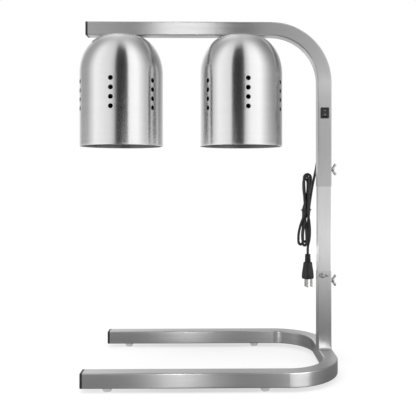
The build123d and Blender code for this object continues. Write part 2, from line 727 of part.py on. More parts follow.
os.makedirs("parts", exist_ok=True)
for name, shape in parts.items():
    export_step(shape, f"parts/{name}.step")
print(len(parts), "parts")
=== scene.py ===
"""Looks of a two-lamp countertop heat lamp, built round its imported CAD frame.

Metres, +Z up, front towards -Y, +X towards the post.
"""
import json
import math

import bmesh
import bpy
from mathutils import Matrix, Vector


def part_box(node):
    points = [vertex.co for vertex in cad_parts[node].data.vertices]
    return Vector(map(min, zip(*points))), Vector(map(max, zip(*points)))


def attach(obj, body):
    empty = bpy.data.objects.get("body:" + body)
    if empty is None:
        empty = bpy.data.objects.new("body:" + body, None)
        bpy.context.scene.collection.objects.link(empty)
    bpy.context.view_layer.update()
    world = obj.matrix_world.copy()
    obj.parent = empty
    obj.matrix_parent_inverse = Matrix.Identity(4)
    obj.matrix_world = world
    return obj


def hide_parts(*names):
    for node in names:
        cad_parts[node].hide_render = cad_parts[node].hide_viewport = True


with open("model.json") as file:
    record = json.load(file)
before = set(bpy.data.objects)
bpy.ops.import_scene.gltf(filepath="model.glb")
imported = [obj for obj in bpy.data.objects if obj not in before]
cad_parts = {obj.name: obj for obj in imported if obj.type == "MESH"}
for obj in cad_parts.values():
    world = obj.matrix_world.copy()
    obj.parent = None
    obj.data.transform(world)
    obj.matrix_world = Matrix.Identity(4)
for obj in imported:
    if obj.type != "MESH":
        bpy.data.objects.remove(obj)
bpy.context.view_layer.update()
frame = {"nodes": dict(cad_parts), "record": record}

MM = 0.001
TURN = 2 * math.pi
SIDES = ("left", "right")
HEAD_BEND = 110 * MM       # centreline radii of the tubes' bends
BASE_BEND = 92 * MM
SPUN_RADIUS = 85 * MM      # about the radius of a shade


def centre(node):
    """Middle of a CAD node's box."""
    low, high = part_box(node)
    return (low + high) / 2


POST = centre("mast_tube")
HEAD_LOW, HEAD_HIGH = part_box("head_tube")
BASE_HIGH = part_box("base_frame")[1]
TUBE = HEAD_HIGH.y - HEAD_LOW.y
HALF = TUBE / 2


# ---- meshes ----
def solid(name, vertices, faces, sharp=35.0, place=None):
    """Mesh object with outward normals, smooth apart from edges sharper than an angle in degrees."""
    shape = bmesh.new()
    placed = [shape.verts.new(v) for v in vertices]
    for face in faces:
        shape.faces.new([placed[i] for i in face])
    bmesh.ops.delete(shape, geom=[v for v in shape.verts if not v.link_faces], context="VERTS")
    bmesh.ops.recalc_face_normals(shape, faces=shape.faces)
    mesh = bpy.data.meshes.new(name)
    shape.to_mesh(mesh)
    shape.free()
    mesh.shade_smooth()
    mesh.set_sharp_from_angle(angle=math.radians(sharp))
    made = bpy.data.objects.new(name, mesh)
    bpy.context.scene.collection.objects.link(made)
    if place is not None:
        made.matrix_world = place
    return made


def skin(rings, loop=False, caps=True):
    """Vertices and faces over closed rings of equal length."""
    count = len(rings[0])
    vertices = [point for ring in rings for point in ring]
    faces = []
    for i in range(len(rings) if loop else len(rings) - 1):
        here, there = i * count, (i + 1) % len(rings) * count
        for k in range(count):
            after = (k + 1) % count
            faces.append((here + k, here + after, there + after, there + k))
    if caps and not loop:
        faces.append(tuple(range(count)))
        faces.append(tuple(range((len(rings) - 1) * count, len(rings) * count)))
    return vertices, faces


def merged(*shapes):
    """One list of vertices and faces from several."""
    vertices, faces = [], []
    for more_vertices, more_faces in shapes:
        start = len(vertices)
        vertices += more_vertices
        faces += [tuple(start + i for i in face) for face in more_faces]
    return vertices, faces


def turned(outline, segments=96, loop=False, radius_at=None):
    """Vertices and faces of a solid of revolution about Z of (radius, height) points.

    The outline is closed in itself or ends on the axis. radius_at(radius, share of a turn,
    height) may shape the radius, as for a thread.
    """
    vertices, rows, faces = [], [], []
    for radius, height in outline:
        if radius < 1e-7:
            rows.append([len(vertices)] * segments)
            vertices.append((0.0, 0.0, height))
            continue
        rows.append(list(range(len(vertices), len(vertices) + segments)))
        for k in range(segments):
            angle = TURN * k / segments
            r = radius_at(radius, k / segments, height) if radius_at else radius
            vertices.append((r * math.cos(angle), r * math.sin(angle), height))
    for low, high in zip(rows, rows[1:] + rows[:1] if loop else rows[1:]):
        for k in range(segments):
            after = (k + 1) % segments
            face = tuple(dict.fromkeys((low[k], low[after], high[after], high[k])))
            if len(face) > 2:
                faces.append(face)
    return vertices, faces


def lathe(name, outline, segments=96, loop=False, radius_at=None, sharp=35.0, place=None):
    """Object of a solid of revolution."""
    vertices, faces = turned(outline, segments, loop, radius_at)
    return solid(name, vertices, faces, sharp, place)


def scaled(points, unit=0.001):
    """Points given in millimetres, in metres."""
    return [tuple(unit * value for value in point) for point in points]


def rounded(points, radius, loop=False, steps=4):
    """The outline with its corners eased; radius is one value, or one for each point."""
    count = len(points)
    radii = radius if isinstance(radius, (list, tuple)) else [radius] * count
    result = []
    for i, (here, size) in enumerate(zip(points, radii)):
        corner = Vector(here)
        if size == 0 or (not loop and i in (0, count - 1)):
            result.append(tuple(corner))
            continue
        before = Vector(points[i - 1]) - corner
        after = Vector(points[(i + 1) % count]) - corner
        reach = size / max(math.tan(before.angle(after) / 2), 1e-3)
        reach = min(reach, 0.45 * before.length, 0.45 * after.length)
        start = corner + before.normalized() * reach
        end = corner + after.normalized() * reach
        for k in range(steps + 1):
            t = k / steps
            result.append(tuple(start.lerp(corner, t).lerp(corner.lerp(end, t), t)))
    return result


def box_ring(width, depth, corner, z, steps=6):
    """Ring of a rounded rectangle at a height."""
    points = []
    for quarter in range(4):
        sx = 1 if quarter in (0, 3) else -1
        sy = 1 if quarter in (0, 1) else -1
        for k in range(steps + 1):
            angle = math.radians(90 * quarter + 90 * k / steps)
            x = sx * (width / 2 - corner) + corner * math.cos(angle)
            y = sy * (depth / 2 - corner) + corner * math.sin(angle)
            points.append((x, y, z))
    return points


def facing(origin, x_axis, z_axis):
    """Matrix that puts +Z along z_axis and +X along x_axis, at origin."""
    z = Vector(z_axis).normalized()
    x = Vector(x_axis).normalized()
    return Matrix.Translation(origin) @ Matrix((x, z.cross(x), z)).transposed().to_4x4()


def curve_tube(name, points, radius, smooth=True, resolution=6, rings=6):
    """Round bar along points, on a NURBS spline or on straight runs."""
    data = bpy.data.curves.new(name, "CURVE")
    data.dimensions = "3D"
    data.bevel_depth = radius
    data.bevel_resolution = rings
    data.use_fill_caps = True
    data.resolution_u = resolution
    spline = data.splines.new("NURBS" if smooth else "POLY")
    spline.points.add(len(points) - 1)
    for spot, point in zip(spline.points, points):
        spot.co = (*point, 1.0)
    if smooth:
        spline.order_u = 3
        spline.use_endpoint_u = True
    made = bpy.data.objects.new(name, data)
    bpy.context.scene.collection.objects.link(made)
    return made


# ---- materials ----
class Nodes:
    """Short calls that build a material's or the world's node tree."""

    def __init__(self, owner):
        owner.use_nodes = True
        self.tree = owner.node_tree
        self.tree.nodes.clear()

    def put(self, socket, value):
        if isinstance(value, bpy.types.NodeSocket):
            self.tree.links.new(value, socket)
        else:
            socket.default_value = value

    def add(self, kind, inputs=(), **settings):
        """A node with its settings, and its inputs by name or number."""
        node = self.tree.nodes.new(kind)
        for name, value in settings.items():
            setattr(node, name, value)
        for key, value in dict(inputs).items():
            self.put(node.inputs[key], value)
        return node

    def math(self, operation, *values):
        node = self.add("ShaderNodeMath", enumerate(values), operation=operation)
        return node.outputs[0]

    def split(self, vector):
        return self.add("ShaderNodeSeparateXYZ", {0: vector}).outputs

    def join(self, x, y, z):
        return self.add("ShaderNodeCombineXYZ", {0: x, 1: y, 2: z}).outputs[0]

    def noise(self, vector, scale, detail=3.0, roughness=0.55):
        inputs = {"Vector": vector, "Scale": scale, "Detail": detail, "Roughness": roughness}
        return self.add("ShaderNodeTexNoise", inputs).outputs[0]

    def fit(self, value, low, high, to_low, to_high):
        inputs = {0: value, 1: low, 2: high, 3: to_low, 4: to_high}
        return self.add("ShaderNodeMapRange", inputs).outputs[0]

    def mix(self, share, first, second):
        inputs = {0: share, 6: first, 7: second}
        return self.add("ShaderNodeMix", inputs, data_type="RGBA").outputs[2]

    def bump(self, height, strength, distance):
        inputs = {"Height": height, "Strength": strength, "Distance": distance}
        return self.add("ShaderNodeBump", inputs).outputs[0]

    def object_place(self):
        return self.add("ShaderNodeTexCoord").outputs["Object"]

    def principled(self, inputs):
        shader = self.add("ShaderNodeBsdfPrincipled", inputs)
        self.add("ShaderNodeOutputMaterial", {"Surface": shader.outputs[0]})
        return shader


def grey(value, warmth=0.0):
    return (value * (1 + warmth), value, value * (1 - warmth), 1.0)


def length_of(nodes, first, second):
    """Length of a vector in a plane, from its two parts."""
    squares = [nodes.math("MULTIPLY", part, part) for part in (first, second)]
    return nodes.math("SQRT", nodes.math("ADD", *squares))


def along_bend(nodes, over_first, over_second, bend):
    """Grain of a tube with one round bend, from how far a point is past the bend's middle on two axes.

    Gives the way along the tube, the way across it, and both distances where they are positive.
    """
    u = nodes.math("MAXIMUM", over_first, 0.0)
    v = nodes.math("MAXIMUM", over_second, 0.0)
    in_bend = nodes.math("MULTIPLY", nodes.math("ARCTAN2", u, v), bend)
    straight = nodes.math("SUBTRACT", nodes.math("MINIMUM", over_first, 0.0),
                          nodes.math("MINIMUM", over_second, 0.0))
    return nodes.math("ADD", in_bend, straight), length_of(nodes, u, v), u, v


def straight_grain(axis):
    """Grain along one axis, with the direction that it runs."""
    def made(nodes):
        x, y, z = nodes.split(nodes.object_place())
        order = {"X": (x, y, z), "Y": (y, x, z), "Z": (z, x, y)}[axis]
        direction = {"X": (1.0, 0.0, 0.0), "Y": (0.0, 1.0, 0.0), "Z": (0.0, 0.0, 1.0)}[axis]
        return order, nodes.join(*direction)
    return made


def arm_grain(nodes):
    """Grain along the head tube: the arm, the bend and the post."""
    x, y, z = nodes.split(nodes.object_place())
    over_x = nodes.math("SUBTRACT", x, POST.x - HEAD_BEND)
    over_z = nodes.math("SUBTRACT", z, HEAD_HIGH.z - HALF - HEAD_BEND)
    along, across, u, v = along_bend(nodes, over_x, over_z, HEAD_BEND)
    return (along, across, y), nodes.join(v, 0.0, nodes.math("MULTIPLY", u, -1.0))


def base_grain(nodes):
    """Grain along the U-shaped base tube."""
    x, y, z = nodes.split(nodes.object_place())
    side = nodes.math("SIGN", y)
    over_x = nodes.math("SUBTRACT", x, BASE_HIGH.x - HALF - BASE_BEND)
    over_y = nodes.math("SUBTRACT", nodes.math("ABSOLUTE", y), BASE_HIGH.y - HALF - BASE_BEND)
    along, across, u, v = along_bend(nodes, over_x, over_y, BASE_BEND)
    direction = nodes.join(v, nodes.math("MULTIPLY", nodes.math("MULTIPLY", u, side), -1.0), 0.0)
    return (nodes.math("ADD", along, side), across, z), direction


def spun_grain(nodes):
    """Grain in circles about the object's own Z axis."""
    x, y, z = nodes.split(nodes.object_place())
    back = nodes.math("MULTIPLY", y, -1.0)
    around = nodes.math("MULTIPLY", nodes.math("ARCTAN2", x, back), SPUN_RADIUS)
    return (around, length_of(nodes, x, y), z), nodes.join(back, x, 0.0)


def brushed_steel(name, grain, tone, roughness, anisotropy, scratch=0.12, contrast=1.0):
    """Stainless steel with fine lines along its grain, broad streaks and faint handling marks.

    Highlights spread across the grain, so the anisotropy is turned by a quarter.
    """
    material = bpy.data.materials.new(name)
    nodes = Nodes(material)
    (along, across, third), direction = grain(nodes)

    def stretched(lengthwise, crosswise):
        """Place on the grain, scaled along it and across it."""
        return nodes.join(nodes.math("MULTIPLY", along, lengthwise),
                          nodes.math("MULTIPLY", across, crosswise),
                          nodes.math("MULTIPLY", third, crosswise))

    lines = nodes.noise(stretched(14.0, 900.0), 2.4, 4.0, 0.7)
    streaks = nodes.noise(stretched(3.0, 130.0), 1.6, 3.0, 0.6)
    cloud = nodes.noise(nodes.join(along, across, third), 22.0, 3.0, 0.6)
    both = nodes.math("ADD", nodes.math("MULTIPLY", lines, 0.6), nodes.math("MULTIPLY", streaks, 0.4))
    colour = nodes.mix(nodes.fit(both, 0.35, 0.65, 0.0, 1.0),
                       grey(tone * (1 - 0.07 * contrast)), grey(tone * (1 + 0.05 * contrast)))
    grained = nodes.fit(both, 0.3, 0.7, roughness - 0.04 * contrast, roughness + 0.05 * contrast)
    rough = nodes.math("ADD", grained, nodes.fit(cloud, 0.55, 0.75, 0.0, 0.03 * contrast))
    nodes.principled({
        "Base Color": colour, "Metallic": 1.0, "Roughness": rough, "Anisotropic": anisotropy,
        "Anisotropic Rotation": 0.25, "Tangent": direction, "Normal": nodes.bump(both, scratch, 0.05 * MM),
    })
    return material


def cast_metal(name, colour, roughness, grit=60.0, depth=0.15, metallic=1.0):
    """Plated or cast metal with a slightly uneven skin."""
    material = bpy.data.materials.new(name)
    nodes = Nodes(material)
    place = nodes.object_place()
    coarse = nodes.noise(place, grit * 12, 4.0)
    fine = nodes.noise(place, grit * 70, 3.0)
    dull = tuple(0.72 * c for c in colour[:3]) + (1.0,)
    nodes.principled({
        "Base Color": nodes.mix(nodes.fit(coarse, 0.5, 0.8, 0.0, 0.7), colour, dull),
        "Metallic": metallic,
        "Roughness": nodes.fit(coarse, 0.3, 0.7, roughness - 0.06, roughness + 0.12),
        "Normal": nodes.bump(fine, depth, 0.08 * MM),
    })
    return material


def moulded(name, colour, roughness, texture=900.0, depth=0.2, **more):
    """Moulded plastic or rubber with a fine skin texture and faint wear."""
    material = bpy.data.materials.new(name)
    nodes = Nodes(material)
    place = nodes.object_place()
    skin_noise = nodes.noise(place, texture, 3.0, 0.6)
    dust = nodes.noise(place, 45.0, 4.0, 0.65)
    pale = tuple(min(1.0, 1.5 * c + 0.012) for c in colour[:3]) + (1.0,)
    inputs = {
        "Base Color": nodes.mix(nodes.fit(dust, 0.45, 0.8, 0.0, 0.6), colour, pale),
        "Roughness": nodes.fit(dust, 0.3, 0.75, roughness - 0.05, roughness + 0.1),
        "Normal": nodes.bump(skin_noise, depth, 0.06 * MM),
    }
    inputs.update(more)
    nodes.principled(inputs)
    return material


def glass(name, colour, roughness):
    material = bpy.data.materials.new(name)
    nodes = Nodes(material)
    waves = nodes.noise(nodes.object_place(), 60.0, 2.0)
    nodes.principled({
        "Base Color": colour, "Roughness": roughness, "IOR": 1.5, "Transmission Weight": 1.0,
        "Normal": nodes.bump(waves, 0.1, 0.2 * MM),
    })
    return material


MATERIALS = {
    "head_steel": brushed_steel("head_steel", arm_grain, 0.47, 0.32, 0.9),
    "base_steel": brushed_steel("base_steel", base_grain, 0.47, 0.32, 0.9),
    "post_steel": brushed_steel("post_steel", straight_grain("Z"), 0.58, 0.32, 0.9),
    "mast_steel": brushed_steel("mast_steel", straight_grain("Z"), 0.62, 0.30, 0.9),
    "shade_steel": brushed_steel("shade_steel", spun_grain, 0.64, 0.25, 0.8, 0.02, 0.5),
    # Darker, rougher copy of the shade steel for the shades' inner wall: painted shade, so the inside and
    # the vents read dark
    "painted_shade_inside": brushed_steel("painted_shade_inside", spun_grain, 0.30, 0.42, 0.6, 0.05),
    "weld": cast_metal("weld", grey(0.42), 0.38, 45.0, 0.5),
    "cap_black": moulded("cap_black", grey(0.012), 0.48, 1500.0, 0.35),
    "foot_pale": moulded("foot_pale", (0.74, 0.75, 0.74, 1.0), 0.35, 500.0, 0.1,
                         **{"Transmission Weight": 0.35, "IOR": 1.46, "Subsurface Weight": 0.4,
                            "Subsurface Radius": (0.004, 0.004, 0.004)}),
    "zinc": cast_metal("zinc", grey(0.46, -0.01), 0.24, 80.0, 0.18),
    "switch_black": moulded("switch_black", grey(0.010), 0.24, 2200.0, 0.12),
    "brass": cast_metal("brass", (0.66, 0.46, 0.20, 1.0), 0.3),
    "porcelain": moulded("porcelain", (0.80, 0.79, 0.75, 1.0), 0.16, 300.0, 0.05,
                         **{"Coat Weight": 0.6, "Coat Roughness": 0.06}),
    "bulb_cap": cast_metal("bulb_cap", (0.62, 0.50, 0.28, 1.0), 0.28),
    "bulb_glass": glass("bulb_glass", (0.96, 0.97, 0.97, 1.0), 0.12),
    "bulb_mirror": cast_metal("bulb_mirror", grey(0.86), 0.08, 20.0, 0.03),
    "wire_jacket": moulded("wire_jacket", (0.72, 0.70, 0.62, 1.0), 0.55, 1800.0, 0.5),
    "cord_black": moulded("cord_black", grey(0.014), 0.38, 1100.0, 0.25),
    "plug_black": moulded("plug_black", grey(0.010), 0.46, 1300.0, 0.3),
    "nickel": cast_metal("nickel", (0.62, 0.60, 0.56, 1.0), 0.2, 70.0, 0.1),
    "mark_white": moulded("mark_white", grey(0.28), 0.45, 1500.0, 0.1),
    "tungsten": cast_metal("tungsten", grey(0.30), 0.35),
}
SLOT_OF = {row["node"]: row["material_slot"] for row in frame["record"]["subparts"]}
STEEL_OF = {"head_tube": "head_steel", "base_frame": "base_steel", "base_post": "post_steel"}
BODY_OF = {node: body for body, nodes in frame["record"]["behaviour"]["bodies"].items() for node in nodes}


def finish_piece(piece, body, material, slot, *stands_for):
    """Gives a piece its material and ties it to the frame; the slot is not used."""
    piece.data.materials.clear()
    piece.data.materials.append(MATERIALS[material])
    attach(piece, body)
    if stands_for:
        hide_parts(*stands_for)
    return piece


for node, piece in frame["nodes"].items():
    piece.data.materials.clear()
    piece.data.materials.append(MATERIALS[STEEL_OF.get(node, SLOT_OF[node])])


# ---- shades ----
SHADE_WALL = 0.8
SHADE_CROWN = 26.0
SHADE_SHOULDER = 78.0
RIM_FOLD = 5.0
VENT_RADIUS = 4.7
VENT_PITCH = 18.1
VENT_TOP_DROP = 20.0
VENT_COLUMNS = 6
VENT_ROWS = 4
VENT_TURN = {"left": -5.7, "right": 6.9}
SEGMENTS = 192             # round a shade
CELL = 8                   # segments and rows of the square round each vent
CROWN_FLAT = 16.0
NIPPLE_HOLE = 5.3


def dome(radius, crown_z, foot_z, steps=26):
    """Quarter ellipse from the wall's top to the flat crown."""
    points = []
    for k in range(steps + 1):
        angle = math.pi / 2 * k / steps
        r = SHADE_CROWN + (radius - SHADE_CROWN) * math.cos(angle)
        points.append((r, foot_z + (crown_z - foot_z) * math.sin(angle)))
    return points


def shade(side):
    """Spun steel bell with punched vents and a rim folded inwards."""
    node = f"shade_{side}"
    low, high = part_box(node)
    radius = (high.x - low.x) / 2 / MM
    rim_z, crown_z = low.z / MM, high.z / MM
    foot_z = crown_z - SHADE_SHOULDER
    inner = radius - SHADE_WALL
    step = VENT_PITCH / CELL
    vents_low = foot_z - VENT_TOP_DROP + VENT_PITCH / 2 - VENT_ROWS * VENT_PITCH
    vent_heights = [vents_low + step * i for i in range(VENT_ROWS * CELL + 1)]
    below_vents = [vents_low - drop for drop in (40.0, 20.0, 6.0)]
    above_vents = vent_heights[-1] + 4.0
    outside = [(inner - 0.45, rim_z + 0.12), (inner + 0.05, rim_z), (radius - 0.35, rim_z + 0.05),
             (radius - 0.08, rim_z + 0.35), (radius, rim_z + 0.9), (radius, rim_z + 6.0)]
    outside += [(radius, z) for z in below_vents]
    outer_start = len(outside)
    outside += [(radius, z) for z in vent_heights] + [(radius, above_vents)]
    outside += dome(radius, crown_z, foot_z)
    outside += [(CROWN_FLAT, crown_z), (NIPPLE_HOLE, crown_z), (NIPPLE_HOLE - 0.1, crown_z - 0.1)]
    under_z = crown_z - SHADE_WALL
    inside = [(NIPPLE_HOLE - 0.1, crown_z - 0.7), (NIPPLE_HOLE, under_z), (CROWN_FLAT, under_z)]
    inside += dome(inner, under_z, foot_z)[::-1] + [(inner, above_vents)]
    inner_start = len(outside) + len(inside)
    inside += [(inner, z) for z in reversed(below_vents + vent_heights)]
    fold_z = rim_z + RIM_FOLD
    inside += [(inner, fold_z + 0.5), (inner - 0.08, fold_z), (inner - 0.5, fold_z),
               (inner - 0.75, fold_z - 0.2), (inner - SHADE_WALL, fold_z - 0.8),
               (inner - SHADE_WALL, rim_z + 0.5)]
    rows = outside + inside
    turn = math.radians(VENT_TURN[side])

    def on_wall(r, arc, z):
        """A point at an arc length from the first column's middle."""
        angle = turn + arc / radius
        return (r * math.sin(angle) * MM, -r * math.cos(angle) * MM, z * MM)

    segment = TURN * radius / SEGMENTS
    vertices = [on_wall(r, segment * (k - CELL / 2), z) for r, z in rows for k in range(SEGMENTS)]
    apart = SEGMENTS // VENT_COLUMNS

    def punched(row, k):
        """Whether a face of the wall lies in the square round a vent."""
        in_rows = any(start <= row < start + VENT_ROWS * CELL for start in (outer_start, inner_start))
        return in_rows and k % apart < CELL

    faces, inner_faces = [], []
    for row in range(len(rows)):
        above = (row + 1) % len(rows)
        for k in range(SEGMENTS):
            after = (k + 1) % SEGMENTS
            if not punched(row, k):
                if row > len(outside):
                    inner_faces.append(len(faces))
                faces.append((row * SEGMENTS + k, row * SEGMENTS + after,
                              above * SEGMENTS + after, above * SEGMENTS + k))
    # Each vent joins its square on the outer wall to the one on the inner wall, by way of its lips:
    # loops at a share of the vent's radius and at a depth in the wall.
    square = [(0, j) for j in range(CELL)] + [(i, CELL) for i in range(CELL)]
    square += [(CELL, CELL - j) for j in range(CELL)] + [(CELL - i, 0) for i in range(CELL)]
    lips = [(1.45, 0.0), (1.13, 0.0), (1.05, 0.02), (1.01, 0.12), (1.0, 0.3), (1.0, 0.55), (1.03, 0.78),
            (1.13, 0.8), (1.45, 0.8)]
    for column in range(VENT_COLUMNS):
        for vent in range(VENT_ROWS):
            middle_z = vents_low + VENT_PITCH * (vent + 0.5)
            middle_arc = column * apart * segment
            outer_edge, inner_edge, angles = [], [], []
            for i, j in square:
                k = (column * apart + j) % SEGMENTS
                outer_edge.append((outer_start + vent * CELL + i) * SEGMENTS + k)
                inner_edge.append((inner_start + VENT_ROWS * CELL - vent * CELL - i) * SEGMENTS + k)
                angles.append(math.atan2((i - CELL / 2) * step, (j - CELL / 2) * segment))
            loops = [outer_edge]
            for factor, depth in lips:
                loops.append(list(range(len(vertices), len(vertices) + len(angles))))
                reach = factor * VENT_RADIUS
                for angle in angles:
                    arc = middle_arc + reach * math.cos(angle)
                    vertices.append(on_wall(radius - depth, arc, middle_z + reach * math.sin(angle)))
            loops.append(inner_edge)
            for one, two in zip(loops, loops[1:]):
                for k in range(len(angles)):
                    after = (k + 1) % len(angles)
                    faces.append((one[k], one[after], two[after], two[k]))
    piece = solid(f"spun_{node}", vertices, faces, 40.0, Matrix.Translation((centre(node).x, 0.0, 0.0)))
    finish_piece(piece, BODY_OF[node], "shade_steel", "shade_steel", node)
    # The inner wall gets the darker copy of the steel: painted shade inside the bell
    piece.data.materials.append(MATERIALS["painted_shade_inside"])
    for i in inner_faces:
        piece.data.polygons[i].material_index = 1


for side in SIDES:
    shade(side)


# ---- bulbs and sockets ----
BULB_NECK_Z = 611.0
BULB_WAIST = (15.0, 588.0)
BULB_EDGE_Z = 496.0
BULB_EDGE_RADIUS = 16.0
BULB_FLARE = 0.4
FILAMENT_HALF = 13.5
FILAMENT_Z = 545.0
FILAMENT_DROOP = 2.4
COIL_TURNS = 9
COIL_STEPS = 20            # a turn
THREAD_PITCH = 3.62


def arc_points(start, end, turn_degrees, steps):
    """Points on an arc that turns by an angle from start to end, both ends included."""
    chord = Vector(end) - Vector(start)
    hub_distance = chord.length / 2 / math.tan(math.radians(turn_degrees) / 2)
    side = Vector((-chord.y, chord.x)).normalized()
    hub = (Vector(start) + Vector(end)) / 2 + side * hub_distance
    spoke = Vector(start) - hub
    points = []
    for k in range(steps + 1):
        angle = math.radians(turn_degrees) * k / steps
        c, n = math.cos(angle), math.sin(angle)
        points.append((hub.x + spoke.x * c - spoke.y * n, hub.y + spoke.x * n + spoke.y * c))
    return points


def bulb_outline(wall):
    """Bulb from its neck to the middle of its face, drawn in by a thickness."""
    low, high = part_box("bulb_glass_left")
    radius = (high.x - low.x) / 2 / MM
    face_z = low.z / MM
    waist = Vector((BULB_WAIST[0] - wall, BULB_WAIST[1]))
    edge = Vector((radius - wall, BULB_EDGE_Z))
    joint = waist.lerp(edge, BULB_FLARE)
    flare = math.degrees(2 * math.atan2(edge.x - waist.x, waist.y - edge.y))
    rise = BULB_EDGE_Z - face_z
    edge_x = radius - BULB_EDGE_RADIUS
    face_radius = (edge_x ** 2 + rise ** 2 - BULB_EDGE_RADIUS ** 2) / (2 * (rise - BULB_EDGE_RADIUS))
    tilt = math.asin(edge_x / (face_radius - BULB_EDGE_RADIUS))
    out = face_radius - wall

    def on_face(angle):
        return (out * math.sin(angle), face_z + face_radius - out * math.cos(angle))

    points = [(12.8 - wall, BULB_NECK_Z)]
    points += arc_points(waist, joint, flare, 10)
    points += arc_points(joint, edge, -flare, 14)[1:]
    points += arc_points(edge, on_face(tilt), -(90 - math.degrees(tilt)), 8)[1:]
    return points + [on_face(tilt * (1 - k / 12)) for k in range(1, 13)]


def thread(depth, pitch, low, high):
    """Radius of a rolled thread between two heights, faded out at both."""
    def shaped(radius, share, height):
        fade = max(0.0, min(1.0, (height - low) / pitch, (high - height) / pitch))
        return radius + depth * fade * 0.5 * math.cos(TURN * (height / pitch - share))
    return shaped


def bulb(side):
    """Reflector bulb: glass, mirror, filament mount and threaded cap."""
    glass_node, cap_node = f"bulb_glass_{side}", f"bulb_base_{side}"
    body = BODY_OF[glass_node]
    place = Matrix.Translation((centre(glass_node).x, 0.0, 0.0))
    shell = bulb_outline(0.0) + bulb_outline(1.0)[::-1]
    piece = lathe(f"reflector_{glass_node}", scaled(shell), 128, False, None, 40.0, place)
    finish_piece(piece, body, "bulb_glass", "bulb_glass", glass_node)
    funnel = [point for point in bulb_outline(1.25) if point[1] > 499.0 and point[0] > 14.2]
    lining = funnel + [(r - 0.3, z) for r, z in reversed(funnel)]
    piece = lathe(f"mirror_{side}", scaled(lining), 96, True, None, 40.0, place)
    finish_piece(piece, body, "bulb_mirror", "bulb_glass")
    stem = [(0.0, 604.0), (9.0, 604.0), (8.0, 596.0), (4.2, 584.0), (2.6, 570.0), (3.4, 562.0),
            (1.6, 559.0), (0.0, 559.0)]
    piece = lathe(f"stem_{side}", scaled(rounded(stem, 1.2)), 48, False, None, 40.0, place)
    finish_piece(piece, body, "bulb_glass", "bulb_glass")
    coil = []
    for k in range(COIL_TURNS * COIL_STEPS + 1):
        angle = TURN * k / COIL_STEPS
        across = -FILAMENT_HALF + 2 * FILAMENT_HALF * k / (COIL_TURNS * COIL_STEPS)
        droop = FILAMENT_DROOP * (1 - (across / FILAMENT_HALF) ** 2)
        coil.append((across, 1.3 * math.cos(angle), FILAMENT_Z - droop + 1.3 * math.sin(angle)))
    lead_wire = [(2.0, 0.0, 561.0), (6.0, 0.0, 555.0), (FILAMENT_HALF, 0.0, 546.0)]
    wires = [(-x, y, z) for x, y, z in lead_wire] + coil + lead_wire[::-1]
    piece = curve_tube(f"filament_{side}", scaled(wires), 0.28 * MM, False, 1, 2)
    piece.matrix_world = place
    finish_piece(piece, body, "tungsten", "bulb_glass")
    low, high = 613.0, 631.0
    cap = [(0.0, 610.9), (12.0, 610.9), (12.4, 611.6)]
    cap += [(12.25, low + (high - low) * k / 54) for k in range(55)]
    cap += [(12.0, 631.8), (9.0, 633.2), (7.0, 633.6), (6.4, 635.0), (5.2, 636.0), (4.6, 636.5),
            (4.2, 637.1), (0.0, 637.2)]
    piece = lathe(f"threaded_{cap_node}", scaled(cap), 64, False,
                  thread(1.0 * MM, THREAD_PITCH * MM, low * MM, high * MM), 50.0, place)
    finish_piece(piece, body, "bulb_cap", "bulb_cap", cap_node)


def socket(side):
    """Glazed socket body and its threaded brass shell."""
    node, shell_node = f"socket_{side}", f"socket_shell_{side}"
    place = Matrix.Translation((centre(node).x, 0.0, 0.0))
    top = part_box(node)[1].z / MM
    outside = [(14.4, 609.0), (19.2, 609.0), (20.0, 609.8), (20.0, 614.6), (18.6, 616.6), (18.4, 618.0),
               (18.4, 630.0), (17.9, 630.8), (17.9, 632.2), (18.4, 633.0), (18.4, 652.0),
               (14.0, top - 1.0), (13.0, top)]
    inside = [(5.1, top), (5.1, 664.0), (3.7, 662.6), (3.7, 642.0), (14.2, 641.6), (14.2, 611.0)]
    eased = rounded(outside + inside, 0.8, True)
    piece = lathe(f"glazed_{node}", scaled(eased), 96, True, None, 40.0, place)
    finish_piece(piece, BODY_OF[node], "porcelain", "porcelain", node)
    low, high = 612.0, 635.0
    heights = [low + (high - low) * k / 70 for k in range(71)]
    wall = [(13.9, 611.1)] + [(13.65, z) for z in heights] + [(13.8, 636.0), (12.0, 637.9), (6.1, 637.9)]
    wall += [(6.1, 637.4), (11.8, 637.4), (13.4, 635.8)] + [(13.3, z) for z in reversed(heights)]
    wall += [(13.5, 611.1)]
    piece = lathe(f"threaded_{shell_node}", scaled(wall), 72, True,
                  thread(0.7 * MM, THREAD_PITCH * MM, low * MM, high * MM), 50.0, place)
    finish_piece(piece, BODY_OF[shell_node], "brass", "brass", shell_node)


for side in SIDES:
    bulb(side)
    socket(side)


# ---- clamp screws ----
SCREW_AXES = {
    "head": ("x", centre("head_screw_nut")),
    "side": ("x", centre("side_screw_nut")),
    "front": ("y", centre("front_screw_nut")),
}


def wing(side):
    """One wing of a screw, as rings from the hub to its rounded tip."""
    # Across, along the screw's axis, breadth, thickness.
    spine = [(1.4, 5.2, 4.6, 3.6), (3.4, 5.6, 4.6, 3.4), (5.2, 6.6, 4.6, 3.2), (7.0, 8.2, 5.4, 3.1),
             (8.8, 9.6, 5.9, 3.0), (10.3, 10.7, 5.0, 2.8), (11.2, 11.3, 2.8, 1.8)]
    rings = []
    for x, z, breadth, thickness in spine:
        lean = math.radians(12 + 36 * min(1.0, x / 8))
        ring = []
        for k in range(16):
            angle = TURN * k / 16
            c, n = math.cos(angle), math.sin(angle)
            out = math.copysign(abs(c) ** 0.7, c) * breadth / 2
            up = math.copysign(abs(n) ** 0.8, n) * thickness / 2
            ring.append((side * (x - out * math.sin(lean)) * MM, up * MM, (z + out * math.cos(lean)) * MM))
        rings.append(ring)
    return skin(rings)


